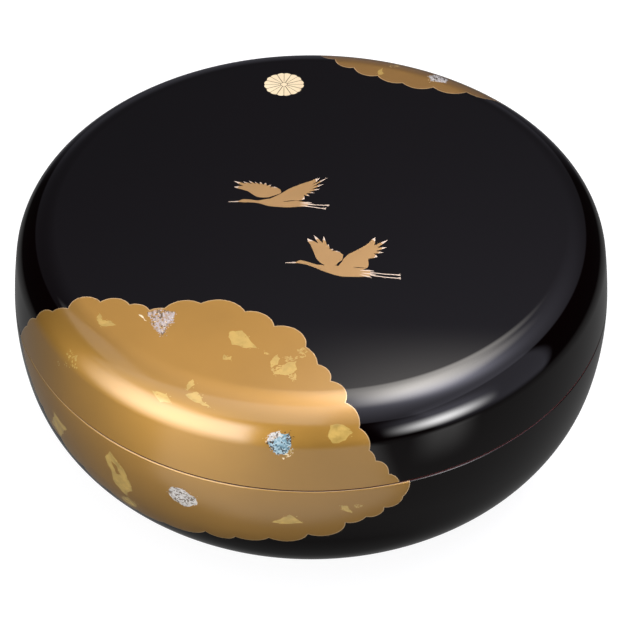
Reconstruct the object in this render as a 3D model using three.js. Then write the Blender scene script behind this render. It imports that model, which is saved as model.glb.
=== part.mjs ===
// A round lacquered candy box: a deep turned bowl on a low foot ring, and a flat-domed lid that
// lifts off and meets the bowl in one smooth outline. Millimetres, +Z up. The origin is the centre
// of the circle that the foot stands on. Both pieces are turned, so each is one closed profile of
// tangent arcs, swept round the vertical axis. An elevation is the angle at which the outward
// normal of the outline stands above the horizontal.
import * as THREE from "three";

// Overall size
const SEAM_RADIUS = 120; // outside radius where the lid meets the bowl
const ROUND_SEGMENTS = 64;
const CHORD_ERROR = 0.12; // how far a straight stretch of the profile may leave its arc

// Lid outline, from the seam up to the apex
const LID_SIDE_RADIUS = 237;
const LID_SIDE_FROM = degrees(3.46);
const LID_SIDE_TO = degrees(8.14);
const SHOULDER_RADIUS = 17.8;
const CROWN_RADIUS = 1920; // centred on the axis
const LID_WALL = 4;

// Bowl outline, from the seam down to the underside
const BOWL_SIDE_RADIUS = 116.2;
const BOWL_SIDE_FROM = degrees(2.38);
const BOWL_SIDE_TO = degrees(-10.4);
const BOWL_CURVE_RADIUS = 56;
const WIDEST = 0; // elevation at which the bowl is widest
const STRAIGHT_DOWN = degrees(-90);
const BOWL_WALL = 6;

// Foot ring
const FOOT_RADIUS = 59;
const FOOT_WIDTH = 5;
const FOOT_HEIGHT = 3.8;
const FOOT_FLARE = 1.2; // how much wider the foot is where it grows out of the bowl

// The fit between the lid and the bowl
const SEAM_GAP = 0.3;
const LIP_HEIGHT = 6; // inner lip of the bowl that keeps the lid in place
const LIP_CLEARANCE = 0.3;
const LIP_CROWN = 0.6; // height of the rounding on top of the lip
const EDGE_ROUND = 0.5; // softened outer edges on both sides of the seam
const EDGE_BAND = 2 * EDGE_ROUND; // the sides keep to their arcs from here on

// Colours of the lacquer
const BLACK_LACQUER = { color: 0x0b0b0d, roughness: 0.06, metalness: 0 };

function degrees(angle) {
  return THREE.MathUtils.degToRad(angle);
}

function pointOn(arc, elevation, inset = 0) {
  const reach = arc.radius - inset;
  return new THREE.Vector2(
    arc.centre.x + reach * Math.cos(elevation),
    arc.centre.y + reach * Math.sin(elevation),
  );
}

// The arc whose outline passes through a point at the given elevation
function arcThrough(point, elevation, radius) {
  const centre = new THREE.Vector2(
    point.x - radius * Math.cos(elevation),
    point.y - radius * Math.sin(elevation),
  );
  return { centre, radius };
}

// The elevation at which an arc, moved in by inset, reaches a height
function elevationAt(arc, height, inset = 0) {
  return Math.asin((height - arc.centre.y) / (arc.radius - inset));
}

// Points along an arc, moved in by inset, close enough together for the chord error
function arcPoints(arc, from, to, inset = 0) {
  const widestStep = 2 * Math.acos(1 - CHORD_ERROR / (arc.radius - inset));
  const steps = Math.ceil(Math.abs(to - from) / widestStep);
  return Array.from({ length: steps + 1 }, (_, i) =>
    pointOn(arc, from + ((to - from) * i) / steps, inset),
  );
}

// Arcs of the lid and the bowl, with the height zero at the seam
const seam = new THREE.Vector2(SEAM_RADIUS, 0);
const lidSide = arcThrough(seam, LID_SIDE_FROM, LID_SIDE_RADIUS);
const shoulder = arcThrough(pointOn(lidSide, LID_SIDE_TO), LID_SIDE_TO, SHOULDER_RADIUS);
const shoulderTo = Math.acos(shoulder.centre.x / (CROWN_RADIUS - SHOULDER_RADIUS));
const crown = arcThrough(pointOn(shoulder, shoulderTo), shoulderTo, CROWN_RADIUS);
const bowlSide = arcThrough(seam, BOWL_SIDE_FROM, BOWL_SIDE_RADIUS);
const bowlCurve = arcThrough(pointOn(bowlSide, BOWL_SIDE_TO), BOWL_SIDE_TO, BOWL_CURVE_RADIUS);

const UNDERSIDE = bowlCurve.centre.y - BOWL_CURVE_RADIUS;
const FLOOR = UNDERSIDE + BOWL_WALL;
const SEAM_HEIGHT = FOOT_HEIGHT - UNDERSIDE; // above the surface that the box stands on

// A quarter round from the flat of a rim out to the side; up is 1 on the lid and -1 on the bowl
function softEdge(up) {
  const middle = new THREE.Vector2(SEAM_RADIUS - EDGE_ROUND, up * EDGE_ROUND);
  return [90, 45, 0].map((angle) =>
    new THREE.Vector2(
      middle.x + EDGE_ROUND * Math.cos(degrees(angle)),
      middle.y - up * EDGE_ROUND * Math.sin(degrees(angle)),
    ),
  );
}

function lidProfile() {
  const apex = degrees(90);
  const insideFrom = elevationAt(lidSide, 0, LID_WALL);
  const outside = [
    ...arcPoints(crown, apex, shoulderTo),
    ...arcPoints(shoulder, shoulderTo, LID_SIDE_TO).slice(1),
    ...arcPoints(lidSide, LID_SIDE_TO, elevationAt(lidSide, EDGE_BAND)).slice(1),
    ...softEdge(1).reverse(),
  ];
  const inside = [
    ...arcPoints(lidSide, insideFrom, LID_SIDE_TO, LID_WALL),
    ...arcPoints(shoulder, LID_SIDE_TO, shoulderTo, LID_WALL).slice(1),
    ...arcPoints(crown, shoulderTo, apex, LID_WALL).slice(1),
  ];
  return onAxis([...outside, ...inside]);
}

// The inner lip follows the inside of the lid with a clearance
function lipProfile() {
  const inset = LID_WALL + LIP_CLEARANCE;
  const shelf = LIP_HEIGHT - LIP_CROWN;
  const inner = pointOn(bowlSide, elevationAt(bowlSide, shelf, BOWL_WALL), BOWL_WALL);
  const outer = pointOn(lidSide, elevationAt(lidSide, shelf, inset), inset);
  const top = new THREE.Vector2((inner.x + outer.x) / 2, LIP_HEIGHT);
  const root = pointOn(lidSide, elevationAt(lidSide, 0, inset), inset);
  return [inner, top, outer, root];
}

function footProfile() {
  const inner = FOOT_RADIUS - FOOT_WIDTH;
  const ground = -SEAM_HEIGHT;
  return [
    new THREE.Vector2(FOOT_RADIUS + FOOT_FLARE, UNDERSIDE),
    new THREE.Vector2(FOOT_RADIUS, ground + EDGE_ROUND),
    new THREE.Vector2(FOOT_RADIUS - EDGE_ROUND, ground),
    new THREE.Vector2(inner + EDGE_ROUND, ground),
    new THREE.Vector2(inner, ground + EDGE_ROUND),
    new THREE.Vector2(inner - FOOT_FLARE / 2, UNDERSIDE),
  ];
}

function bowlProfile() {
  const insideTo = elevationAt(bowlSide, 0, BOWL_WALL);
  const inside = [
    new THREE.Vector2(0, FLOOR),
    ...arcPoints(bowlCurve, STRAIGHT_DOWN, BOWL_SIDE_TO, BOWL_WALL),
    ...arcPoints(bowlSide, BOWL_SIDE_TO, insideTo, BOWL_WALL).slice(1),
  ];
  const outside = [
    ...softEdge(-1),
    ...arcPoints(bowlSide, elevationAt(bowlSide, -EDGE_BAND), WIDEST),
    ...arcPoints(bowlSide, WIDEST, BOWL_SIDE_TO).slice(1),
    ...arcPoints(bowlCurve, BOWL_SIDE_TO, STRAIGHT_DOWN).slice(1),
  ];
  const underside = [...footProfile(), new THREE.Vector2(0, UNDERSIDE)];
  return onAxis([...inside, ...lipProfile(), ...outside, ...underside]);
}

// The first and last points of a swept profile lie exactly on the axis
function onAxis(points) {
  points[0].x = 0;
  points[points.length - 1].x = 0;
  return points;
}

function turned(name, profile, lacquer, height) {
  const geometry = new THREE.LatheGeometry(profile, ROUND_SEGMENTS);
  geometry.rotateX(degrees(90));
  const mesh = new THREE.Mesh(geometry, new THREE.MeshStandardMaterial(lacquer));
  mesh.name = name;
  mesh.position.z = height;
  return mesh;
}

const candyBox = new THREE.Group();
candyBox.add(turned("body", bowlProfile().reverse(), BLACK_LACQUER, SEAM_HEIGHT));
candyBox.add(turned("lid", lidProfile().reverse(), BLACK_LACQUER, SEAM_HEIGHT + SEAM_GAP));

export default candyBox;
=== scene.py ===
"""The looks of a round candy box: a footed bowl and a lift-off lid in polished black lacquer, with
scalloped gold clouds, torn foil, shell flakes, two cranes and a floral roundel, all of them flush.

Both pieces are turned from profiles of tangent arcs. The outer skin of each is flattened into a
disc, where the decoration is drawn and becomes edges of the mesh, so that every finish ends on a
crisp line. Lengths are millimetres until a mesh or a light is made.
"""
import random
from collections import namedtuple
from math import acos, asin, atan, atan2, ceil, copysign, cos, degrees, exp, pi, radians, sin

import bpy
import numpy as np
from mathutils import Matrix, Vector
from mathutils.geometry import delaunay_2d_cdt
from mathutils.kdtree import KDTree


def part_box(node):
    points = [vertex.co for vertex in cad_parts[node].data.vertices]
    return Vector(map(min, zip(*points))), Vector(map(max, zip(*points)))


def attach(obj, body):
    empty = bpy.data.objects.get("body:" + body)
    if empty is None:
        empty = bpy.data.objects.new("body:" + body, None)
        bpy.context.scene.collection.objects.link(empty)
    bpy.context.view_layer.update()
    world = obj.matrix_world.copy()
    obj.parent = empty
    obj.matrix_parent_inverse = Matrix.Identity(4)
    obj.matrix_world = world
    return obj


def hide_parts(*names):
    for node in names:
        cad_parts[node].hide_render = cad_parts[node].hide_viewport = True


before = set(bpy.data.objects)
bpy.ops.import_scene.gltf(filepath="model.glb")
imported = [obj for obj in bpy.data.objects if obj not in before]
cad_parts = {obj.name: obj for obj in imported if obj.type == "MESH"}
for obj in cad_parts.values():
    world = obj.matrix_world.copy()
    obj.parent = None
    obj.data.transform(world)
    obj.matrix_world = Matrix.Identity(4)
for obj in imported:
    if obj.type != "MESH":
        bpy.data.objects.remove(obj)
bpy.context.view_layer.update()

MM = 0.001

# Outline of the box, as in the CAD model; heights count from the seam
SEAM_RADIUS = 120.0
SEAM_GAP = 0.3
LID_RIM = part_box("lid")[0].z / MM
SEAM_HEIGHT = LID_RIM - SEAM_GAP
LID_SIDE_RADIUS = 237.0
LID_SIDE_FROM = 3.46
LID_SIDE_TO = 8.14
SHOULDER_RADIUS = 17.8
CROWN_RADIUS = 1920.0
LID_WALL = 4.0
BOWL_SIDE_RADIUS = 116.2
BOWL_SIDE_FROM = 2.38
BOWL_SIDE_TO = -10.4
BOWL_CURVE_RADIUS = 56.0
BOWL_WALL = 6.0
FOOT_RADIUS = 59.0
FOOT_WIDTH = 5.0
FOOT_FLARE = 1.2
LIP_HEIGHT = 6.0
LIP_CLEARANCE = 0.3

# Roundings of the edges
EDGE_ROUND = 0.5
LIP_ROUND = 0.8
ROOT_ROUND = 0.25
FOOT_ROUND = 0.7
FOOT_ROOT_ROUND = 1.4
ROUNDING_STEPS = 6
PAINTED_STEPS = 4  # how far over the bowl's edge its finish is carried, and then its worn red line on black and a painted highlight line on gold
WORN_AND_HIGHLIT_STEPS = 6

# Fineness of the meshes and of the outlines drawn on them
SEGMENTS = 360
CROWN_STEP = 7.0
SHOULDER_STEP = 0.9
SIDE_STEP = 1.7
INSIDE_STEP = 2.4
OUTLINE_STEP = 0.6
BISECTIONS = 40
CLEAR_OF_OUTLINES = 0.3
CLEAR_OF_CROSSINGS = 0.3  # as a share of a sector
MERGE_DISTANCE = 1e-5
# Beyond each share of a disc's reach, the rings keep one point in so many
THINNING = [(0.5, 1), (0.25, 2), (0.0, 5)]
FLOOR_RINGS = (42.0, 21.0, 7.0, 0.0)
UNDERSIDE_RINGS = (36.0, 18.0, 6.0, 0.0)

# The flattened discs of the decoration
BOWL_SKIN_DEPTH = 60.0  # how far below the seam the decorated skin of the bowl reaches
GOLD_EDGE = 0.34  # width of the paler line along a cloud, partly an edge line and partly a painted highlight
LEAST_HALF_WIDTH = 0.03
LID_SEED = 7
BOWL_SEED = 1007
SEEDS_PER_FLAKE = 10

Arc = namedtuple("Arc", "x z radius")
Run = namedtuple("Run", "arc first last")
Shape = namedtuple("Shape", "finish polygon")
Cloud = namedtuple("Cloud", "outline edge_line finish")
Wing = namedtuple("Wing", "front tips rear notch")
Crane = namedtuple("Crane", "spine half_widths wings legs plumes creases")


def on_arc(arc, elevation, inset=0.0):
    """The point of an arc, moved in by inset, whose outward normal has that elevation in degrees."""
    reach = arc.radius - inset
    angle = radians(elevation)
    return arc.x + reach * cos(angle), arc.z + reach * sin(angle)


def arc_through(point, elevation, radius):
    angle = radians(elevation)
    return Arc(point[0] - radius * cos(angle), point[1] - radius * sin(angle), radius)


def wall_at(arc, height, inset):
    """Where an arc that is moved in by inset has a height, and the normal's elevation there."""
    elevation = degrees(asin((height - arc.z) / (arc.radius - inset)))
    return on_arc(arc, elevation, inset), elevation


LID_SIDE = arc_through((SEAM_RADIUS, 0.0), LID_SIDE_FROM, LID_SIDE_RADIUS)
SHOULDER = arc_through(on_arc(LID_SIDE, LID_SIDE_TO), LID_SIDE_TO, SHOULDER_RADIUS)
SHOULDER_TO = degrees(acos(SHOULDER.x / (CROWN_RADIUS - SHOULDER_RADIUS)))
CROWN = arc_through(on_arc(SHOULDER, SHOULDER_TO), SHOULDER_TO, CROWN_RADIUS)
BOWL_SIDE = arc_through((SEAM_RADIUS, 0.0), BOWL_SIDE_FROM, BOWL_SIDE_RADIUS)
BOWL_CURVE = arc_through(on_arc(BOWL_SIDE, BOWL_SIDE_TO), BOWL_SIDE_TO, BOWL_CURVE_RADIUS)
UNDERSIDE = BOWL_CURVE.z - BOWL_CURVE_RADIUS
FLOOR = UNDERSIDE + BOWL_WALL
GROUND = -SEAM_HEIGHT


def length_of(run):
    return run.arc.radius * abs(radians(run.last - run.first))


# Runs of arcs from the middle of each disc out to the seam
LID_RUNS = [
    Run(CROWN, 90.0, SHOULDER_TO),
    Run(SHOULDER, SHOULDER_TO, LID_SIDE_TO),
    Run(LID_SIDE, LID_SIDE_TO, LID_SIDE_FROM),
]
LID_REACH = sum(length_of(run) for run in LID_RUNS)
BOWL_SIDE_LENGTH = length_of(Run(BOWL_SIDE, BOWL_SIDE_TO, BOWL_SIDE_FROM))
BOWL_SKIN_FROM = BOWL_SIDE_TO - degrees(
    (BOWL_SKIN_DEPTH - BOWL_SIDE_LENGTH) / BOWL_CURVE_RADIUS
)
BOWL_RUNS = [
    Run(BOWL_CURVE, BOWL_SKIN_FROM, BOWL_SIDE_TO),
    Run(BOWL_SIDE, BOWL_SIDE_TO, BOWL_SIDE_FROM),
]


def along_runs(runs, start, distance):
    """Radius, height and normal elevation at distances along runs that begin at start."""
    radius, height, elevation = (np.zeros_like(distance) for _ in range(3))
    for run in runs:
        here = distance >= start - MERGE_DISTANCE
        way = copysign(1.0, run.last - run.first)
        angle = radians(run.first) + way * (distance[here] - start) / run.arc.radius
        radius[here] = run.arc.x + run.arc.radius * np.cos(angle)
        height[here] = run.arc.z + run.arc.radius * np.sin(angle)
        elevation[here] = angle
        start += length_of(run)
    return radius, height, elevation


# Drawing in the flat disc. Azimuth 0 is the front, and it grows to the right.


def around(azimuth, out, up):
    """Points or normals at azimuths, in radians, from how far they go out and up."""
    sine, cosine = np.sin(azimuth), np.cos(azimuth)
    return np.stack([out * sine, -out * cosine, up + 0 * sine], 1)


def on_circle(radius, azimuth):
    return around(azimuth, radius, 0)[:, :2]


def azimuth_of(point):
    return atan2(point[0], -point[1])


def on_bowl(rows):
    """Rows that start with a point of the bowl's disc, from an azimuth and a depth below the seam."""
    out = []
    for azimuth, depth, *rest in rows:
        angle = radians(azimuth)
        reach = SEAM_RADIUS - depth
        out.append((reach * sin(angle), -reach * cos(angle), *rest))
    return out


def smooth(points):
    """A curve through points, by Catmull-Rom, sampled about an outline step apart."""
    knots = np.asarray(points, float)
    last = len(knots) - 1
    out = []
    for i in range(last):
        a, b, c, d = (knots[min(max(i + k, 0), last)] for k in (-1, 0, 1, 2))
        pieces = max(2, ceil(np.linalg.norm(c - b) / OUTLINE_STEP))
        square = 2 * a - 5 * b + 4 * c - d
        cube = 3 * b - a - 3 * c + d
        for t in np.arange(pieces) / pieces:
            out.append(0.5 * (2 * b + (c - a) * t + square * t**2 + cube * t**3))
    out.append(knots[-1])
    return np.array(out)


def scallops(cusps):
    """Round lobes between cusps (x, y, depth of the next lobe as a share of its chord)."""
    places = np.array([cusp[:2] for cusp in cusps])
    out = []
    for start, end, (_, _, depth) in zip(places, places[1:], cusps):
        chord = end - start
        across = np.array((-chord[1], chord[0]))
        half = 2 * atan(2 * abs(depth))  # half the angle of the lobe's arc
        pieces = max(4, ceil(np.linalg.norm(chord) / OUTLINE_STEP))
        for t in np.arange(pieces) / pieces:
            along, rise = t, 0.0
            if half:
                turn = half * (2 * t - 1)
                along = 0.5 + sin(turn) / (2 * sin(half))
                rise = (cos(turn) - cos(half)) / (2 * sin(half))
            out.append(start + chord * along + across * copysign(rise, depth))
    return np.array(out + [places[-1]])


def rightward(points):
    """Unit directions to the right of an open outline, at each of its points."""
    along = np.gradient(points, axis=0)
    along /= np.linalg.norm(along, axis=1)[:, None]
    return np.stack([along[:, 1], -along[:, 0]], 1)


def trimmed(points, radius):
    """The run of an outline inside a circle, with both its ends on the circle."""
    inside = np.flatnonzero(np.linalg.norm(points, axis=1) < radius)
    first, last = inside[0], inside[-1]

    def crossing(inner, outer):
        share, step = 0.0, 0.5
        for _ in range(BISECTIONS):
            if np.linalg.norm(inner + (outer - inner) * (share + step)) < radius:
                share += step
            step /= 2
        return inner + (outer - inner) * share

    head = crossing(points[first], points[first - 1])
    tail = crossing(points[last], points[last + 1])
    return np.vstack([head, points[first : last + 1], tail])


def tapered(spine, half_widths):
    """A closed outline round a smooth spine whose width changes along it."""
    fine = smooth([(*p, w) for p, w in zip(spine, half_widths)])
    line = fine[:, :2]
    side = rightward(line) * np.maximum(fine[:, 2:], LEAST_HALF_WIDTH)
    return np.vstack([line + side, (line - side)[::-1]])


# Torn edges, as shares of a side, and the crumbs round them
TEAR = 0.13
TEAR_ROUNDS = 2
TEAR_BETWEEN = (0.35, 0.65)
CRUMB_SIZES = (0.5, 1.3)
CRUMB_CORNERS = 5
CRUMB_HEIGHT = 0.8
# Crumbs of each kind of flake: finish, count, spread and size
CRUMBS = {
    "foil": [("foil", 8, 0.5, 0.3), ("gold", 9, 0.3, 0.34)],
    "faint_foil": [("faint_foil", 34, 0, 0.62), ("gold", 10, 0, 0.4)],
    "shell": [("shell", 18, 0.45, 0.34), ("gold", 14, 0.5, 0.32), ("ivory", 9, 0.7, 0.26)],
    "worn_shell": [
        ("worn_shell", 40, 0.5, 0.4), ("gold", 70, 0, 0.55), ("ivory", 30, 0, 0.34),
        ("worn_shell", 40, 0, 0.5), ("vein", 16, 0, 0.3), ("shell", 30, 0, 0.32),
        ("gold", 30, 0.4, 0.4),
    ],
    "teal_shell": [("teal_shell", 18, 0.5, 0.36), ("vein", 12, 0.9, 0.34), ("gold", 16, 0.5, 0.34)],
    "dark_crumbs": [("vein", 16, 0, 0.46), ("teal_shell", 6, 0, 0.3)],
    "ivory_crumbs": [("ivory", 18, 0, 0.36), ("foil", 8, 0, 0.36)],
    "ivory": [],
    "gold": [],
}


def torn(corners, seed):
    """The ragged edge of a flake, from its few corners."""
    draw = random.Random(seed)
    points = [np.array(p, float) for p in corners]
    for _ in range(TEAR_ROUNDS):
        finer = []
        for here, following in zip(points, points[1:] + points[:1]):
            step = following - here
            across = np.array((-step[1], step[0]))
            share = draw.uniform(*TEAR_BETWEEN)
            finer += [here, here + step * share + across * draw.uniform(-TEAR, TEAR)]
        points = finer
    return np.array(points)


def specks(corners, seed, count, spread, size):
    """Crumbs scattered about the edge of a flake, or all over it when the spread is 0."""
    draw = random.Random(seed)
    outline = torn(corners, seed)
    low, high = outline.min(0), outline.max(0)
    crumbs = []
    while len(crumbs) < count:
        if spread:
            place = draw.choice(outline) + (draw.gauss(0, spread), draw.gauss(0, spread))
        else:
            place = np.array([draw.uniform(a, b) for a, b in zip(low, high)])
            if not holds(outline, place[None])[0]:
                continue
        reach = size * draw.uniform(*CRUMB_SIZES)
        turns = sorted(draw.uniform(0, 2 * pi) for _ in range(CRUMB_CORNERS))
        ways = np.array([(cos(a), CRUMB_HEIGHT * sin(a)) for a in turns])
        crumbs.append(place + reach * ways)
    return crumbs


def flake_shapes(rows, first_seed):
    """Torn flakes with crumbs in and round them; the worn and crumbly ones are all crumbs."""
    shapes = []
    for row, (kind, corners) in enumerate(rows):
        seed = first_seed + SEEDS_PER_FLAKE * row
        if kind != "faint_foil" and not kind.endswith("crumbs"):
            shapes.append(Shape(kind, torn(corners, seed)))
        for i, (finish, count, spread, size) in enumerate(CRUMBS[kind], 1):
            shapes += [Shape(finish, c) for c in specks(corners, seed + i, count, spread, size)]
    return shapes


def circle(centre, radius, count):
    return np.array(centre) + on_circle(radius, np.arange(count) * 2 * pi / count)


def cloud(cusps, finish):
    """A cloud's outline, whose gold lies on its right hand, and the line inside its pale edge."""
    outline = scallops(cusps)
    return Cloud(outline, outline + GOLD_EDGE * rightward(outline), finish)


def closed_outside(outline, reach):
    """A cloud's outline as a polygon, closed well outside the disc by the short way round."""
    first, last = azimuth_of(outline[0]), azimuth_of(outline[-1])
    turn = (first - last + pi) % (2 * pi) - pi
    return np.vstack([outline, on_circle(2 * reach, last + turn * np.linspace(0, 1, 24))])


# The large cloud on the lid: cusps from its left end at the rim to its right end
LID_FRONT_CUSPS = [
    (-140.6, -40.6, 0.03), (-123.6, -46.9, 0.09), (-111, -51.1, 0.16), (-100.4, -53.2, 0.1),
    (-93.3, -54.5, 0.32), (-80.7, -52.6, 0.25), (-69.4, -54.7, 0.2), (-61.6, -58, 0.1),
    (-55.9, -57.1, 0.21), (-42.1, -54.8, 0.23), (-25.1, -59.6, 0.22), (-13.9, -67.8, 0.27),
    (-1.9, -78.9, 0.11), (2.5, -88.1, 0.21), (7.2, -96.7, 0.24), (12.7, -106.8, 0.18),
    (18.2, -116.1, 0.16), (23.2, -125, 0.11), (26.7, -129.7, 0.19), (33.9, -135.6, 0.14),
    (40.4, -140.1, 0),
]
# The same cloud on the bowl, as azimuth and depth below the seam, from right to left
BOWL_FRONT_CUSPS = [
    (17.9, -0.6, 0.12), (16.75, 7.5, 0.26), (13.25, 11.5, 0.31), (10, 15.5, 0.2), (6.25, 17.75, 0.3),
    (-0.6, 24.4, 0.26), (-7.9, 28.5, 0.18), (-14.4, 31.5, 0.31), (-20.4, 32.75, 0.16), (-30, 39, 0.14),
    (-36.5, 40.5, 0.18), (-43, 36.5, 0.2), (-50, 31.5, 0.22), (-56.5, 25.5, 0.18), (-63, 19, 0.22),
    (-68.5, 12, 0.18), (-72.5, 5, 0.12), (-74.2, -0.6, 0),
]
# The small cloud at the rear right of the lid, and its lower part on the bowl
LID_REAR_CUSPS = [
    (-10, 146.2, 0.14), (-6.5, 134, 0.2), (-3, 121.5, 0.18), (4, 110, 0.2), (10.3, 104, 0.22),
    (18.2, 97.3, 0.25), (28.2, 91.3, 0.22), (38.6, 86.2, 0.18), (51.5, 83.4, 0.2), (65.5, 80.6, 0.2),
    (78, 78, 0.18), (88.5, 81, 0.2), (97.5, 86, 0.18), (104, 93.5, 0.16), (108.5, 98.8, 0),
]
BOWL_REAR_CUSPS = [
    (184.6, -0.6, 0.16), (182, 8, 0.24), (177, 15.5, 0.24), (170.5, 20.5, 0.24), (163, 23, 0.22),
    (155.5, 21, 0.24), (148.5, 17.5, 0.22), (142, 11.5, 0.22), (137, 6.5, 0.18), (133.6, -0.6, 0),
]

# Torn foil and shell in the clouds of the lid
LID_FLAKES = [
    ("foil", [(-80.7, -58.9), (-81.6, -62.6), (-79.3, -66), (-74.2, -65.8), (-76.1, -63.3),
        (-79.6, -62.9)]),
    ("worn_shell", [(-62.5, -59.2), (-57, -58), (-51.7, -59.4), (-52.4, -64.8), (-56.2, -72.2),
        (-59.4, -67.8)]),
    ("ivory", [(-65.8, -60.2), (-64.6, -60.6), (-62.3, -63.9), (-63.3, -63.6)]),
    ("faint_foil", [(-100.8, -76.7), (-94.2, -71.7), (-90.8, -76.1), (-93.2, -80.8), (-98.3, -77.8)]),
    ("faint_foil", [(-105.6, -74.2), (-104.4, -73.2), (-104.4, -74.6)]),
    ("foil", [(-60, -97.2), (-54.2, -100), (-52.7, -103.3), (-57.2, -102.2)]),
    ("foil", [(-43.9, -95), (-43.2, -97.6), (-46.1, -99.7), (-46.3, -97.6)]),
    ("foil", [(-46.9, -101.1), (-42.5, -100.4), (-40.6, -104.2), (-37.2, -107.3), (-43.3, -104.4)]),
    ("foil", [(-30.4, -70.2), (-26, -70), (-23.6, -73.6), (-20.2, -79.6), (-25.6, -79.2),
        (-29.8, -77.6), (-31.2, -73.4)]),
    ("foil", [(-33.1, -85.2), (-32.6, -82.6), (-31.4, -84), (-29.5, -83.8), (-29.9, -85.4)]),
    ("foil", [(-17.6, -81.7), (-16.4, -81.9), (-15.6, -83.3), (-16.8, -82.9)]),
    ("foil", [(-12.8, -83.1), (-11.5, -85), (-12.4, -88.2), (-14.9, -89.9), (-15.1, -86.2)]),
    ("foil", [(-8.9, -87.2), (-5.4, -86.4), (-5.2, -90.8), (-9.4, -93.8), (-14.2, -93.4),
        (-10.9, -90)]),
    ("faint_foil", [(-8.6, -93.6), (-5.8, -92.8), (-5, -96.6), (-8, -97)]),
    ("faint_foil", [(-5.6, -81.1), (-2.2, -79.6), (-0.9, -81.4), (-2.2, -84.4), (-6.1, -85.6)]),
    ("faint_foil", [(-10.2, -84.4), (-7.2, -83.8), (-6.6, -86.2), (-9.6, -87)]),
    ("faint_foil", [(-14.8, -90.6), (-12, -88.6), (-9.8, -88.4), (-10.4, -90.4), (-14, -93)]),
    ("teal_shell", [(-17, -121.6), (-15.2, -118.9), (-12, -118.2), (-8.4, -118.6), (-7.6, -121.8),
        (-8.4, -125), (-10.2, -127.6), (-13.2, -127.2), (-15.6, -124.6)]),
    ("shell", [(-17.2, -121.4), (-15.6, -118.4), (-12, -117.6), (-11.6, -119.2), (-14.8, -121)]),
    ("dark_crumbs", [(-17.6, -121.6), (-15.4, -121.4), (-13.4, -124.2), (-15.6, -125)]),
    ("dark_crumbs", [(-10.6, -118.6), (-8.2, -118.8), (-7.2, -122), (-9.4, -121.4)]),
    ("ivory_crumbs", [(-9.6, -125.4), (-6.8, -124.4), (-7, -127.8), (-10.4, -128.6)]),
    ("ivory", [(-11.7, -128.8), (-10.6, -128.9), (-11, -129.8)]),
    ("foil", [(7.2, -115.6), (12, -115.2), (15.9, -117.9), (13.2, -121), (8.4, -122.4), (6.4, -119.6)]),
    ("foil", [(28.6, 91.8), (31, 93), (30.4, 97.2), (28.8, 95.6)]),
    ("faint_foil", [(33.4, 98.2), (37.6, 99.2), (38.4, 104.2), (34, 104.6)]),
    ("shell", [(50.6, 88), (56.8, 87.2), (58.2, 92.6), (53.4, 95.4), (50, 92.2)]),
    ("foil", [(60, 108), (64.5, 107), (65.5, 112), (61.5, 114)]),
    ("foil", [(22, 122), (26.5, 120), (28, 125.5), (24, 128.5), (21, 126)]),
    ("shell", [(88, 96), (92.5, 94.5), (94, 99.5), (90, 101.5)]),
]
# The same on the bowl, as azimuth and depth below the seam
BOWL_FLAKES = [
    ("foil", [(-57, 11.2), (-52.6, 13.4), (-54.4, 19.4), (-56.2, 25), (-59.4, 21.6)]),
    ("foil", [(-39.8, 6), (-38.2, 9.4), (-36.2, 14.6), (-35.5, 23.6), (-37.4, 29.8), (-40.2, 23.4),
        (-41.3, 11.2)]),
    ("gold", [(-39.7, 11.2), (-38.5, 12.4), (-37.7, 16.6), (-38.8, 17.4)]),
    ("foil", [(-37.4, 30.4), (-35.6, 33.4), (-38, 39), (-39.8, 35.2)]),
    ("shell", [(-26.4, 10), (-24.2, 8.9), (-21.6, 11.2), (-21.2, 15.6), (-24.2, 18.8), (-26.9, 14.2)]),
    ("foil", [(-3.8, 12.4), (-1.4, 17.3), (-7.1, 17.8)]),
    ("foil", [(5.4, 7.4), (6.6, 8), (7.4, 12.4), (5.6, 10.2)]),
    ("faint_foil", [(8, 7.8), (9.2, 8.8), (8.2, 9.6)]),
    ("foil", [(150, 6), (153.5, 8), (151.5, 13.5), (148.5, 10.5)]),
    ("shell", [(162, 9), (165, 8), (166.5, 12.5), (163, 15)]),
    ("foil", [(172, 4.5), (174.5, 6.5), (172.5, 9.5)]),
]

# The floral roundel at the rear of the lid; reaches are shares of its radius
ROUNDEL_AT = (-11.4, 84.6)
ROUNDEL_RADIUS = 8.4
PETALS = 8
PETAL_GAP = 0.15  # half the dark gap between two petals
PETAL_STEPS = 13
PETAL_ROUND = 0.07
NOTCH_DEPTH = 0.06
NOTCH_WIDTH = 0.14
STEM_WIDTH = 0.72  # as a share of the petal's
STEM_REACH = 0.19
GROUND_REACH = 0.97
CENTRE_REACH = 0.155
VEIN_SIDE = [(-0.045, 0.24), (-0.022, 0.60), (-0.012, 0.95)]

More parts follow.
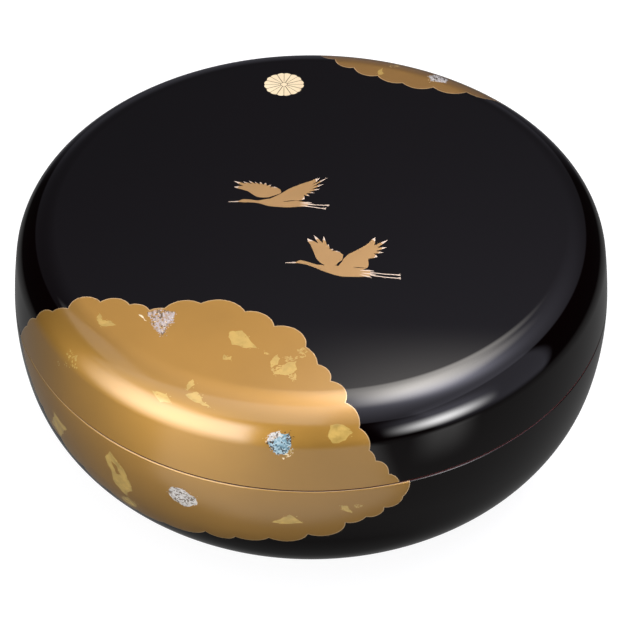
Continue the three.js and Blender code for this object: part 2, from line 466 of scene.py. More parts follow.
UPPER_CRANE = Crane(
    spine=[(-33, 5), (-29, 5.1), (-27.2, 5.5), (-24.6, 5.4), (-21, 4.8), (-16.6, 4.4), (-10, 3.6),
        (-5, 3.3), (-1.2, 2.9)],
    half_widths=[0.12, 0.32, 0.95, 0.9, 0.85, 2.3, 2.4, 1.75, 1.3],
    wings=[
        Wing(front=[(-17, 7.5), (-21.4, 7.9), (-25.4, 11.6)], tips=[(-31, 14.4), (-31.2, 18.3), (-27.2,
            17.7), (-24.9, 18.2), (-22.6, 17.6), (-20.4, 17.3), (-18.2, 16.8), (-16.2, 15.4), (-14.4,
            14.2)], rear=[(-12.3, 12.4), (-12, 10.4), (-13.6, 9.2)], notch=0.32),
        Wing(front=[(-17.6, 5.8), (-12.4, 9.6), (-8.4, 13.2), (-3.4, 16.3)], tips=[(3.6, 19.8), (7,
            20.3), (5.2, 15.8), (3.6, 12.6), (1.4, 10.2), (-0.6, 8.2), (-2.6, 6.4)], rear=[(-5.4, 5.2),
            (-9, 4.4)], notch=0.5),
    ],
    legs=[[(-2.8, 3), (1.8, 2.7), (6, 2.4)], [(-2.6, 2), (1.2, 1.2), (4.8, 0.5)]],
    plumes=[[(-4.4, 3.9), (-2.2, 4.1), (0.2, 4.2)], [(-4.2, 3.2), (-1.6, 3.3), (1, 3.2)], [(-4.4, 2.4),
        (-2.2, 2), (-0.2, 1.3)]],
    creases=[[(-5.2, 5.5), (-8.4, 5.2), (-11.2, 4.6)]],
)
LOWER_CRANE = Crane(
    spine=[(-10, -32.2), (-6, -32), (-4.2, -31.7), (-1.8, -32.4), (1.6, -34), (6, -35.6), (11.6, -37),
        (17.4, -37.8), (22.8, -38.4)],
    half_widths=[0.12, 0.34, 0.95, 0.9, 0.95, 1.9, 2.9, 2.5, 1.5],
    wings=[
        Wing(front=[(6, -34.4), (2.4, -30.4), (0.6, -24.2)], tips=[(-1.5, -17.8), (1, -15.8), (5,
            -16.6), (6.9, -21.4), (8.6, -24.2), (10.4, -25.4)], rear=[(12.4, -27.4), (12.2, -30.2),
            (10.2, -32.6), (9.6, -35.4)], notch=0.46),
        Wing(front=[(10.2, -35), (12.2, -30.8), (14.2, -27.6), (17.4, -25), (21.2, -22)], tips=[(25.2,
            -17), (30.2, -18.4), (29.7, -22.9), (28.2, -26), (25.9, -28.6)], rear=[(22.2, -29.8), (21.7,
            -35), (16.6, -36.6)], notch=0.5),
    ],
    legs=[[(22.6, -37.6), (28, -38.5), (33.4, -38.9)], [(22.4, -39), (28, -40.2), (33.5, -40.8)]],
    plumes=[[(19, -36.6), (22, -36.6), (24.4, -36.9)], [(19.4, -38), (22.4, -38.4), (25, -38.9)],
        [(18.8, -38.9), (21.4, -39.8), (23.4, -40.6)]],
    creases=[[(12.6, -28.4), (12.2, -30.6), (11, -32.6), (9.2, -33.8)], [(21.4, -35), (18.4, -35),
        (16.2, -34.6)]],
)
LEG_HALF_WIDTHS = (0.28, 0.2, 0.24)
TOE_LENGTH = 1.3
TOE_SPREAD = 26.0
TOE_HALF_WIDTHS = (0.22, 0.08)
FEATHER_FULLNESS = 0.34  # half the width of a feather halfway to its tip, as a share of its base
OUTER_FEATHERS_FROM = (0.45, 0.3)  # shares of the way to the tips where the edge begins and ends
PLUME_HALF_WIDTHS = (0.05, 0.34, 0.08)
CREASE_END = 0.05
CREASE_HALF_WIDTH = 0.2


def wing_shapes(wing):
    """A raised wing of feathers, and the pale ends of the feathers."""
    front = smooth(wing.front)
    rear = smooth(wing.rear)
    palm = (front[-1] + rear[0]) / 2
    tips = [np.array(tip, float) for tip in wing.tips]
    middles = [(here + following) / 2 for here, following in zip(tips, tips[1:])]
    notches = [middle + (palm - middle) * wing.notch for middle in middles]
    first, last = OUTER_FEATHERS_FROM
    before = [front[-1] + (tips[0] - front[-1]) * first] + notches
    after = notches + [rear[0] + (tips[-1] - rear[0]) * last]
    edge = []
    ends = []
    for left, tip, right in zip(before, tips, after):
        base = (left + right) / 2
        side = (left - right) * FEATHER_FULLNESS
        middle = base + (tip - base) * 0.5
        edge += [left, middle + side, tip, middle - side]
        ends.append(Shape("feather", np.array([middle + side, tip, middle - side])))
    edge.append(after[-1])
    return [Shape("crane", np.vstack([front, edge, rear]))] + ends


def foot_shapes(knee, ankle):
    """Three short toes that go on from a trailing leg."""
    way = np.array(ankle) - np.array(knee)
    heading = atan2(way[1], way[0])
    toes = []
    for spread in (-TOE_SPREAD, 0.0, TOE_SPREAD):
        angle = heading + radians(spread)
        tip = (ankle[0] + TOE_LENGTH * cos(angle), ankle[1] + TOE_LENGTH * sin(angle))
        toes.append(Shape("feather", tapered([ankle, tip], TOE_HALF_WIDTHS)))
    return toes


def crane_shapes(crane):
    shapes = []
    for leg in crane.legs:
        shapes.append(Shape("feather", tapered(leg, LEG_HALF_WIDTHS)))
        shapes += foot_shapes(leg[-2], leg[-1])
    for wing in crane.wings:
        shapes += wing_shapes(wing)
    shapes.append(Shape("crane", tapered(crane.spine, crane.half_widths)))
    shapes.append(Shape("feather", tapered(crane.spine[:2], crane.half_widths[:2])))
    for plume in crane.plumes:
        shapes.append(Shape("feather", tapered(plume, PLUME_HALF_WIDTHS)))
    for crease in crane.creases:
        widths = [CREASE_END] + [CREASE_HALF_WIDTH] * (len(crease) - 2) + [CREASE_END]
        shapes.append(Shape("black", tapered(crease, widths)))
    return shapes


def roundel_shapes():
    """A flower of broad petals, each with a shallow notch and a vein, round a small centre."""
    radius = ROUNDEL_RADIUS
    half = pi / PETALS
    rim = []
    for share in np.linspace(-1, 1, PETAL_STEPS):
        notch = NOTCH_DEPTH * exp(-((share / NOTCH_WIDTH) ** 2))
        reach = radius * (1 - PETAL_ROUND * share**4 - notch)
        rim.append((share * (half - PETAL_GAP / radius), reach))
    stem = (half * STEM_WIDTH, radius * STEM_REACH)
    petal = [(-stem[0], stem[1])] + rim + [stem]
    vein = VEIN_SIDE + [(-angle, share) for angle, share in VEIN_SIDE[::-1]]
    vein = [(angle, share * radius) for angle, share in vein]
    shapes = [Shape("vein", circle(ROUNDEL_AT, radius * GROUND_REACH, 72))]
    for k in range(PETALS):
        turn = 2 * half * k
        shapes.append(Shape("ivory", polar_outline(ROUNDEL_AT, turn, petal)))
        shapes.append(Shape("vein", polar_outline(ROUNDEL_AT, turn, vein)))
    shapes.append(Shape("ivory", circle(ROUNDEL_AT, radius * CENTRE_REACH, 24)))
    return shapes


def polar_outline(centre, turn, corners):
    """An outline from angles about a centre, counted from turn, and reaches."""
    x, y = centre
    angles = [(turn + angle, reach) for angle, reach in corners]
    return np.array([(x + reach * sin(a), y - reach * cos(a)) for a, reach in angles])


# Meshes


class Painting:
    """The decoration of one disc: clouds that run out over its rim, and closed shapes."""

    def __init__(self, reach, clouds, shapes):
        self.lines = [trimmed(line, reach) for c in clouds for line in (c.outline, c.edge_line)]
        self.shapes = []
        for c in clouds:
            # The pale band along each cloud's outline is partly its edge line and partly a painted
            # highlight
            self.shapes.append(Shape("gold_edge", closed_outside(c.outline, reach)))
            self.shapes.append(Shape(c.finish, closed_outside(c.edge_line, reach)))
        self.shapes += shapes
        self.closed = [shape.polygon for shape in shapes]
        self.crossings = [azimuth_of(p) for line in self.lines for p in line[[0, -1]]]

    def finish_at(self, points):
        """The name of the finish at each point of the disc: the last shape that holds it."""
        names = np.full(len(points), "black", dtype=object)
        for shape in self.shapes:
            low, high = shape.polygon.min(0), shape.polygon.max(0)
            near = np.flatnonzero(np.all((points >= low) & (points <= high), axis=1))
            if len(near):
                names[near[holds(shape.polygon, points[near])]] = shape.finish
        return names


def holds(polygon, points):
    """Which of the points lie inside a polygon."""
    inside = np.zeros(len(points), bool)
    x, y = points[:, 0], points[:, 1]
    for (x0, y0), (x1, y1) in zip(polygon, np.roll(polygon, -1, axis=0)):
        if y0 == y1:
            continue
        crosses = (y0 > y) != (y1 > y)
        inside ^= crosses & (x < x0 + (y - y0) * (x1 - x0) / (y1 - y0))
    return inside


def ring_angles(exact):
    """Even azimuths all round, with those where a cloud's line meets the rim put in exactly."""
    step = 2 * pi / SEGMENTS
    exact = np.array(exact) % (2 * pi)
    even = np.arange(SEGMENTS) * step
    apart = np.abs((even[:, None] - exact[None] + pi) % (2 * pi) - pi).min(1)
    return np.sort(np.concatenate([even[apart > CLEAR_OF_CROSSINGS * step], exact]))


class Turning:
    """A closed mesh that grows by rings and skins, with the true normal of every vertex."""

    def __init__(self, angles):
        self.angles = angles
        self.points = np.zeros((0, 3))
        self.normals = np.zeros((0, 3))
        self.faces = []
        self.finishes = []

    def add_points(self, azimuth, radius, height, elevation):
        first = len(self.points)
        self.points = np.vstack([self.points, around(azimuth, radius, height)])
        normals = around(azimuth, np.cos(elevation), np.sin(elevation))
        self.normals = np.vstack([self.normals, normals])
        return np.arange(first, len(self.points))

    def add_strip(self, one, other, finish):
        """Quads between two rings, or a fan to a point on the axis; a finish, or one a sector."""
        count = len(self.angles)
        for i in range(count):
            j = (i + 1) % count
            if len(other) == 1:
                self.faces.append((one[i], other[0], one[j]))
            else:
                self.faces.append((one[i], other[i], other[j], one[j]))
            self.finishes.append(finish if isinstance(finish, str) else finish[i])

    def add_run(self, samples, finish, start):
        """Strips along profile samples, from a ring that is there; the last ring is returned."""
        for radius, height, elevation in samples:
            angles = self.angles if radius > MERGE_DISTANCE else np.zeros(1)
            ring = self.add_points(angles, radius, height, radians(elevation))
            self.add_strip(start, ring, finish)
            start = ring
        return start

    def add_skin(self, painting, runs, start, distances):
        """The decorated skin between its first and last ring, which are returned."""
        inner, outer = distances[0], distances[-1]
        flat, edges = [], []

        def add_line(points, closed):
            first = len(flat)
            flat.extend(map(tuple, points))
            edges.extend((first + i, first + i + 1) for i in range(len(points) - 1))
            if closed:
                edges.append((first + len(points) - 1, first))

        add_line(on_circle(outer, self.angles), True)
        hollow = inner > 0
        if hollow:
            add_line(on_circle(inner, self.angles), True)
        fixed = len(flat)
        for line in painting.lines:
            add_line(line, False)
        for polygon in painting.closed:
            add_line(polygon, True)
        tree = KDTree(max(1, len(flat) - fixed))
        for i, (x, y) in enumerate(flat[fixed:]):
            tree.insert((x, y, 0.0), i)
        tree.balance()
        for distance in distances[1:-1]:
            count = SEGMENTS // next(n for beyond, n in THINNING if distance > beyond * outer)
            for x, y in circle((0, 0), distance, count):
                if tree.find((x, y, 0.0))[2] > CLEAR_OF_OUTLINES:
                    flat.append((x, y))
        if not hollow:
            flat.append((0.0, 0.0))
        found, _, triangles, origin, _, _ = delaunay_2d_cdt(
            [Vector(p) for p in flat], edges, [], 0, MERGE_DISTANCE
        )
        found, triangles = np.array(found), np.array(triangles)
        middles = found[triangles].mean(1)
        if hollow:
            kept = np.linalg.norm(middles, axis=1) > inner * cos(pi / SEGMENTS)
            triangles, middles = triangles[kept], middles[kept]
        azimuth = np.arctan2(found[:, 0], -found[:, 1])
        profile = along_runs(runs, start, np.linalg.norm(found, axis=1))
        ids = self.add_points(azimuth, *profile)
        self.faces += [tuple(t) for t in ids[triangles].tolist()]
        self.finishes += list(painting.finish_at(middles))
        place = {i: ids[new] for new, old in enumerate(origin) for i in old}
        count = len(self.angles)
        outer_ring = np.array([place[i] for i in range(count)])
        inner_ring = np.array([place[count + i] for i in range(count)]) if hollow else None
        return inner_ring, outer_ring

    def made(self, name, finishes, height):
        """The finished object, in metres, with every face turned outward."""
        points = (self.points + (0, 0, height)) * MM
        ids = np.array([(*face, face[-1])[:4] for face in self.faces])
        corners = points[ids]
        across = np.cross(corners[:, 2] - corners[:, 0], corners[:, 3] - corners[:, 1])
        outward = (across * self.normals[ids].sum(1)).sum(1) > 0
        faces = [face if out else face[::-1] for face, out in zip(self.faces, outward)]
        mesh = bpy.data.meshes.new(name)
        mesh.from_pydata(points.tolist(), [], [tuple(map(int, face)) for face in faces])
        used = sorted(set(self.finishes))
        for finish in used:
            mesh.materials.append(finishes[finish])
        number = {finish: i for i, finish in enumerate(used)}
        mesh.polygons.foreach_set("material_index", [number[f] for f in self.finishes])
        mesh.polygons.foreach_set("use_smooth", [True] * len(faces))
        mesh.update()
        mesh.normals_split_custom_set_from_vertices(self.normals.tolist())
        piece = bpy.data.objects.new(name, mesh)
        bpy.context.scene.collection.objects.link(piece)
        return piece


# Profiles as samples of radius, height and normal elevation in degrees


def arc_samples(arc, first, last, step, inset=0.0):
    """Samples along an arc; with an inset they are the inside of the wall and face inward."""
    reach = arc.radius - inset
    count = max(1, ceil(abs(radians(last - first)) * reach / step))
    facing = 180.0 if inset else 0.0
    angles = np.linspace(first, last, count + 1)
    return [(*on_arc(arc, angle, inset), angle + facing) for angle in angles]


def rounding(corner, before, after, radius):
    """A rounded corner between two faces, given their normals; a negative radius fills a hollow."""
    first, last = radians(before), radians(after)
    normals = np.array([(cos(a), sin(a)) for a in (first, last)])
    middle = np.array(corner) - radius * normals.sum(0) / (1 + normals[0] @ normals[1])
    out = []
    for angle in np.linspace(first, last, ROUNDING_STEPS + 1):
        x, z = middle + radius * np.array((cos(angle), sin(angle)))
        out.append((x, z, degrees(angle)))
    return out


def ring_distances(runs, start, steps, end):
    """Distances of the rings of a skin, with every joint between two runs among them."""
    out = [start]
    for run, step in zip(runs, steps):
        stop = min(out[-1] + length_of(run), end)
        count = max(1, ceil((stop - out[-1]) / step))
        out += list(np.linspace(out[-1], stop, count + 1)[1:])
    return out


def make_lid(finishes):
    reach = LID_REACH - EDGE_ROUND
    shapes = flake_shapes(LID_FLAKES, LID_SEED) + roundel_shapes()
    shapes += crane_shapes(UPPER_CRANE) + crane_shapes(LOWER_CRANE)
    # The rear cloud is drawn in a darker gold, a painted shade
    clouds = [cloud(LID_FRONT_CUSPS, "gold"), cloud(LID_REAR_CUSPS[::-1], "deep_gold")]
    painting = Painting(reach, clouds, shapes)
    turning = Turning(ring_angles(painting.crossings))
    distances = ring_distances(LID_RUNS, 0.0, (CROWN_STEP, SHOULDER_STEP, SIDE_STEP), reach)
    _, edge = turning.add_skin(painting, LID_RUNS, 0.0, distances)

    rim_inner, rim_to = wall_at(LID_SIDE, 0.0, LID_WALL)
    outer_edge = rounding((SEAM_RADIUS, 0.0), LID_SIDE_FROM, -90.0, EDGE_ROUND)
    inner_edge = rounding(rim_inner, -90.0, rim_to - 180.0, EDGE_ROUND)
    _, inside_from = wall_at(LID_SIDE, EDGE_ROUND, LID_WALL)
    inside = (
        arc_samples(LID_SIDE, inside_from, LID_SIDE_TO, INSIDE_STEP, LID_WALL)
        + arc_samples(SHOULDER, LID_SIDE_TO, SHOULDER_TO, SHOULDER_STEP, LID_WALL)[1:]
        + arc_samples(CROWN, SHOULDER_TO, 90.0, CROWN_STEP, LID_WALL)[1:]
    )
    inner = turning.add_run(outer_edge[1:] + inner_edge, "rim", edge)
    turning.add_run(inside[1:], "red", inner)
    return turning.made("lid_lacquered", finishes, LID_RIM)


def rim_finishes(turning, painting, reach):
    """The finish of each sector of the bowl's rim, as the decoration has it at the disc's edge."""
    following = np.roll(turning.angles, -1)
    following[-1] += 2 * pi
    middles = (turning.angles + following) / 2
    return list(painting.finish_at(on_circle(reach - EDGE_ROUND, middles)))


def make_bowl(finishes):
    reach = SEAM_RADIUS - EDGE_ROUND
    start = SEAM_RADIUS - BOWL_SKIN_DEPTH
    rows = [(kind, on_bowl(corners)) for kind, corners in BOWL_FLAKES]
    shapes = flake_shapes(rows, BOWL_SEED)
    front = flipped(on_bowl(BOWL_FRONT_CUSPS))
    # The rear cloud is drawn in a darker gold, a painted shade
    clouds = [cloud(front, "gold"), cloud(on_bowl(BOWL_REAR_CUSPS), "deep_gold")]
    painting = Painting(reach, clouds, shapes)
    turning = Turning(ring_angles(painting.crossings))
    distances = ring_distances(BOWL_RUNS, start, (SIDE_STEP, SIDE_STEP), reach)
    lower, upper = turning.add_skin(painting, BOWL_RUNS, start, distances)
    sectors = rim_finishes(turning, painting, reach)

    # From the skin's upper ring over the seat and the lip to the floor
    outer_edge = rounding((SEAM_RADIUS, 0.0), BOWL_SIDE_FROM, 90.0, EDGE_ROUND)
    inset = LID_WALL + LIP_CLEARANCE
    lip_root, _ = wall_at(LID_SIDE, 0.0, inset)
    lip_outer, lip_outer_to = wall_at(LID_SIDE, LIP_HEIGHT, inset)
    lip_inner, lip_inner_to = wall_at(BOWL_SIDE, LIP_HEIGHT, BOWL_WALL)
    lip = (
        rounding(lip_root, 90.0, LID_SIDE_FROM, -ROOT_ROUND)
        + rounding(lip_outer, lip_outer_to, 90.0, LIP_ROUND)
        + rounding(lip_inner, 90.0, 180.0 + lip_inner_to, LIP_ROUND)
    )
    _, lip_inner_start = wall_at(BOWL_SIDE, LIP_HEIGHT - LIP_ROUND, BOWL_WALL)
    inside = (
        arc_samples(BOWL_SIDE, lip_inner_start, BOWL_SIDE_TO, INSIDE_STEP, BOWL_WALL)
        + arc_samples(BOWL_CURVE, BOWL_SIDE_TO, -90.0, INSIDE_STEP, BOWL_WALL)[1:]
        + [(radius, FLOOR, 90.0) for radius in FLOOR_RINGS]
    )
    ring = turning.add_run(outer_edge[1:PAINTED_STEPS], sectors, upper)
    # Past the carried finish, black sectors take the red rim lacquer and gold sectors a paler gold, a
    # painted highlight along the bowl's edge
    worn_and_highlit = ["rim" if finish == "black" else "gold_edge" for finish in sectors]
    ring = turning.add_run(outer_edge[PAINTED_STEPS:WORN_AND_HIGHLIT_STEPS], worn_and_highlit, ring)
    ring = turning.add_run(outer_edge[WORN_AND_HIGHLIT_STEPS:] + lip, "rim", ring)
    turning.add_run(inside[1:], "red", ring)

    # From the skin's lower ring down to the foot and the middle of the underside
    foot_inner = FOOT_RADIUS - FOOT_WIDTH
    depth = UNDERSIDE - GROUND
    outer_lean = degrees(atan2(-FOOT_FLARE, depth))
    inner_lean = -180.0 + degrees(atan2(FOOT_FLARE / 2, depth))
    outside = (
        arc_samples(BOWL_CURVE, BOWL_SKIN_FROM, -90.0, SIDE_STEP)[1:]
        + rounding((FOOT_RADIUS + FOOT_FLARE, UNDERSIDE), -90.0, outer_lean, -FOOT_ROOT_ROUND)
        + rounding((FOOT_RADIUS, GROUND), outer_lean, -90.0, FOOT_ROUND)
        + rounding((foot_inner, GROUND), -90.0, inner_lean, FOOT_ROUND)
        + rounding((foot_inner - FOOT_FLARE / 2, UNDERSIDE), inner_lean, -90.0, -FOOT_ROOT_ROUND)
        + [(radius, UNDERSIDE, -90.0) for radius in UNDERSIDE_RINGS]
    )
    turning.add_run(outside, "black", lower)
    return turning.made("bowl_lacquered", finishes, SEAM_HEIGHT)


def flipped(cusps):
    """Cusps in the opposite order, each with the depth of the lobe that follows it there."""
    lobes = [cusp[2] for cusp in cusps[-2::-1]] + [0.0]
    return [(x, y, lobe) for (x, y, _), lobe in zip(cusps[::-1], lobes)]


# Finishes


def set_inputs(node, inputs):
    """Puts values on the sockets of a node, or links the outputs of others to them."""
    for name, value in inputs.items():
        if isinstance(value, bpy.types.NodeSocket):
            node.id_data.links.new(value, node.inputs[name])
        else:
            node.inputs[name].default_value = value


def add_node(kind, inputs, **settings):
    """The outputs of a new node, in the tree of the outputs that are linked to it."""
    tree = next(v.id_data for v in inputs.values() if isinstance(v, bpy.types.NodeSocket))
    made = tree.nodes.new("ShaderNode" + kind)
    for name, value in settings.items():
        setattr(made, name, value)
    set_inputs(made, inputs)
    return made.outputs


def math_node(operation, *values):
    return add_node("Math", dict(enumerate(values)), operation=operation)["Value"]


def noise(place, scale, detail=3.0, roughness=0.5):
    inputs = {"Vector": place, "Scale": scale, "Detail": detail, "Roughness": roughness}
    return add_node("TexNoise", inputs)["Fac"]


def ramp(factor, stops):
    """Colours along a factor, from stops of (position, colour)."""
    output = add_node("ValToRGB", {"Fac": factor})["Color"]
    elements = output.node.color_ramp.elements
    while len(elements) < len(stops):
        elements.new(0.5)
    for element, (position, colour) in zip(elements, stops):
        element.position = position
        element.color = (*colour, 1.0)
    return output


def mapped(factor, low, high, start=0.3, end=0.7, **settings):
    """A factor's range from start to end, mapped to low and high."""
    inputs = {"Value": factor, "From Min": start, "From Max": end, "To Min": low, "To Max": high}
    return add_node("MapRange", inputs, **settings)["Result"]


def bump(height, strength, distance):
    return add_node("Bump", {"Height": height, "Strength": strength, "Distance": distance})["Normal"]


LACQUER_IOR = 1.5
GOLD_ROUGHNESS = 0.55
COAT_ROUGHNESS = 0.14
COAT_IOR = 1.62


def coat(metallic, roughness=COAT_ROUGHNESS, ior=COAT_IOR):
    """Even values of a finish under clear lacquer."""
    layer = {"Coat Weight": 1.0, "Coat Roughness": roughness, "Coat IOR": ior}
    return {"Metallic": metallic, **layer}


def lacquer(place, deep, pale, roughness):
    """Polished lacquer: a mirror-like surface with the faintest unevenness of hand polishing."""
    return {
        "Base Color": ramp(noise(place, scale=9.0), [(0.35, deep), (0.65, pale)]),
        "Roughness": mapped(noise(place, scale=30.0), roughness * 0.8, roughness * 1.25),
        "Normal": bump(noise(place, scale=14.0, detail=1.0), strength=0.03, distance=0.0006),
    }


def gold_powder(place, deep, pale, metallic=1.0):
    """Sprinkled gold under polished lacquer: satin, with grains too small to count."""
    grains = noise(place, scale=2600.0, detail=2.0)
    drift = math_node("MULTIPLY_ADD", grains, 0.45, noise(place, scale=22.0))
    return {
        "Base Color": ramp(drift, [(0.52, deep), (0.92, pale)]),
        "Roughness": mapped(grains, GOLD_ROUGHNESS * 0.92, GOLD_ROUGHNESS * 1.08),
        "Normal": bump(grains, strength=0.12, distance=0.00006),
        **coat(metallic),
    }


def foil(place, deep, pale):
    """Torn gold leaf: paler and yellower than the powder, with fine creases."""
    patches = noise(place, scale=330.0, detail=4.0, roughness=0.6)
    cells = {"Vector": place, "Scale": 620.0, "Randomness": 1.0}
    creases = add_node("TexVoronoi", cells, feature="DISTANCE_TO_EDGE")["Distance"]
    return {
        "Base Color": ramp(patches, [(0.34, deep), (0.62, pale)]),
        "Roughness": mapped(patches, 0.35, 0.65),
        "Normal": bump(creases, strength=0.35, distance=0.0002),
        **coat(metallic=0.5),
    }


def shell(place, deep, middle, pale):
    """Slivers of shell: pale, with coloured lights and dark gaps between slivers."""
    slant = {"Vector": place, "Rotation": (0.0, 0.0, 0.9), "Scale": (1.0, 0.38, 1.0)}
    slanted = add_node("Mapping", slant)["Vector"]
    slivers = add_node("TexVoronoi", {"Vector": slanted, "Scale": 1500.0}, feature="F1")
    hue = add_node("SeparateColor", {"Color": slivers["Color"]})["Red"]
    stops = [(0.0, deep), (0.16, deep), (0.34, middle), (0.6, pale), (0.8, middle), (1.0, pale)]
    return {
        "Base Color": ramp(hue, stops),
        "Roughness": mapped(hue, 0.2, 0.45, 0.0, 1.0),
        "Normal": bump(slivers["Distance"], strength=0.3, distance=0.0003),
        **coat(metallic=0.2, roughness=0.1, ior=1.5),
    }


# The material of each finish: its name, how it is drawn and its colours
FINISHES = {
    "black": ("black_lacquer", lacquer, (0.0006, 0.0001, 0.0001), (0.0009, 0.0001, 0.0002), 0.03),
    "red": ("red_lacquer_inside", lacquer, (0.19, 0.012, 0.007), (0.26, 0.018, 0.01), 0.16),
    "rim": ("rim_lacquer", lacquer, (0.04, 0.006, 0.004), (0.055, 0.008, 0.006), 0.22),
    "gold": ("gold_powder", gold_powder, (0.366, 0.2, 0.041), (0.42, 0.23, 0.048)),
    # The rear clouds' gold: the same gold made darker, a painted shade where they face away from the
    # light
    "deep_gold": ("shaded_gold_powder", gold_powder, (0.27, 0.148, 0.04), (0.31, 0.17, 0.047)),
    # A paler gold: a painted highlight on the bowl's edge, and partly so along the clouds' edges
    "gold_edge": ("gold_edge", gold_powder, (0.52, 0.35, 0.17), (0.64, 0.45, 0.24)),
    "foil": ("gold_foil", foil, (0.4, 0.262, 0.058), (0.51, 0.34, 0.082)),
    "faint_foil": ("worn_foil", foil, (0.4, 0.257, 0.06), (0.5, 0.33, 0.084)),
    "shell": ("silver_shell", shell, (0.15, 0.12, 0.09), (0.37, 0.35, 0.33), (0.56, 0.54, 0.52)),
    "worn_shell": ("worn_shell", shell, (0.18, 0.12, 0.07), (0.34, 0.26, 0.2), (0.43, 0.38, 0.38)),
    "teal_shell": ("teal_shell", shell, (0.04, 0.06, 0.07), (0.13, 0.25, 0.31), (0.36, 0.47, 0.52)),
    "crane": ("crane_gold", gold_powder, (0.42, 0.255, 0.105), (0.48, 0.295, 0.125)),
    "feather": ("feather_gold", gold_powder, (0.62, 0.49, 0.38), (0.74, 0.6, 0.48), 0.75),
    "ivory": ("roundel_gold", gold_powder, (0.66, 0.52, 0.31), (0.84, 0.72, 0.48), 0.3),
    "vein": ("roundel_vein", gold_powder, (0.06, 0.035, 0.014), (0.1, 0.06, 0.025), 0.8),
}


def new_material(name, inputs):
    """A material, and its Principled shader with even values."""
    material = bpy.data.materials.new(name)
    material.use_nodes = True
    shader = next(n for n in material.node_tree.nodes if n.type == "BSDF_PRINCIPLED")
    set_inputs(shader, inputs)
    return material, shader


def make_finish(name, drawn, *values):
    """A material that is drawn from places in the object."""
    material, shader = new_material(name, {"IOR": LACQUER_IOR})
    place = material.node_tree.nodes.new("ShaderNodeTexCoord").outputs["Object"]
    set_inputs(shader, drawn(place, *values))
    return material


# Camera, as the photograph was taken

CAMERA_HEIGHT_ANGLE = 0.7192460  # above the plane of the seam, in radians
CAMERA_DISTANCE = 1080.0
CAMERA_PITCH = -0.0106507
CAMERA_YAW = -0.0009681
FOCAL_PIXELS = 2656.687
IMAGE_WIDTH = 617
SENSOR_WIDTH = 36.0


def turned(one, other, angle):
    """Two axes after a turn of the first towards the second."""
    cosine, sine = cos(angle), sin(angle)
    return one * cosine + other * sine, other * cosine - one * sine


def make_camera():
    rise, level = sin(CAMERA_HEIGHT_ANGLE), cos(CAMERA_HEIGHT_ANGLE)
    place = Vector((0.0, -CAMERA_DISTANCE * level, CAMERA_DISTANCE * rise + SEAM_HEIGHT)) * MM
    ahead, right = turned(Vector((0.0, level, -rise)), Vector((1.0, 0.0, 0.0)), CAMERA_YAW)
    ahead, up = turned(ahead, Vector((0.0, rise, level)), CAMERA_PITCH)
    data = bpy.data.cameras.new("camera")
    data.sensor_width = SENSOR_WIDTH
    data.lens = FOCAL_PIXELS * SENSOR_WIDTH / IMAGE_WIDTH
    camera = bpy.data.objects.new("camera", data)
    facing = Matrix((right, up, -ahead)).transposed().to_4x4()
    camera.matrix_world = Matrix.Translation(place) @ facing
    bpy.context.scene.collection.objects.link(camera)
    bpy.context.scene.camera = camera


# Light from the world: softboxes, screens, a lit ceiling and the dim studio. Azimuth 0 is straight
# behind the box, and it grows to the right.

Panel = namedtuple("Panel", "azimuth height_angle low high low_border high_border level tint")
Lobe = namedtuple("Lobe", "azimuth height_angle power level")

WARM = (1.045, 0.993, 0.925)
NEUTRAL = (1.01, 1.0, 0.99)
COOL = (0.989, 0.984, 1.193)

# Flat panels square to a direction: corners and soft borders as shares of their distance. They are
# a softbox overhead, a strip behind it and a dim screen above the front left; a small softbox front
# right and a wide one front left; a dim screen rear left and one low in front; two bluish screens on
# the right, a faint one low on the right and the faintest behind.
PANELS = [
    Panel(0, 90, (0.162, -0.082), (0.471, 0.457), (0.109, 0.272), (0.195, 0.282), 10.7, WARM),
    Panel(0, 90, (0.05, 0.2), (0.274, 0.824), (0.132, 0.283), (0.132, 0.15), 6.55, WARM),
    Panel(0, 90, (-2.17, -1.21), (0.1, -0.1), (0.05, 0.05), (0.05, 0.05), 1.2, NEUTRAL),
    Panel(134.9, 3, (-0.142, -0.112), (0.142, 0.112), (0.269, 0.189), (0.269, 0.189), 29.6, NEUTRAL),
    Panel(-134, 3, (-0.467, -0.363), (0.51, 0.454), (0.06, 0.3), (0.46, 0.19), 6.3, NEUTRAL),
    Panel(-75.8, 47, (-0.273, -0.164), (0.273, 0.164), (0.06, 0.04), (0.06, 0.04), 0.8, NEUTRAL),
    Panel(-165.1, -40.8, (-0.656, -0.321), (0.656, 0.321), (0.1, 0.1), (0.1, 0.1), 0.62, NEUTRAL),
    Panel(114, 12, (-0.45, -0.5), (0.46, 0.52), (0.06, 0.16), (0.06, 0.16), 0.5, COOL),
    Panel(135, 14, (-0.28, -0.34), (0.28, 0.26), (0.18, 0.18), (0.18, 0.18), 0.8, COOL),
    Panel(131, -28, (-0.13, -0.08), (0.13, 0.09), (0.1, 0.08), (0.1, 0.08), 0.78, NEUTRAL),
    Panel(0, -6, (-0.45, -0.35), (0.45, 0.35), (0.15, 0.15), (0.15, 0.15), 0.07, COOL),
]
# The bounds of the lit ceiling and rear wall: planes through the box, and the lit side of each
CEILING_BOUNDS = [(0.601, 0.251, 0.761), (-0.557, 0.156, 0.816), (0.0, 0.581, 0.814)]
CEILING_BORDER = 0.03
CEILING_LEVEL = 0.075
CEILING_LOBES = [Lobe(108.2, 71.5, 3.9, 1.23), Lobe(90.9, 66.0, 38.8, 4.0)]
DARK = 0.01
# How far ahead, as a share of its distance, a direction counts towards a panel
LEAST_DEPTH = 0.001
FULL_DEPTH = 0.1
# Dim light from below by height angle
BELOW = [
    (-90, 0.058), (-75, 0.06), (-58, 0.14), (-42, 0.166), (-30, 0.14), (-21, 0.1), (-14, 0),
]


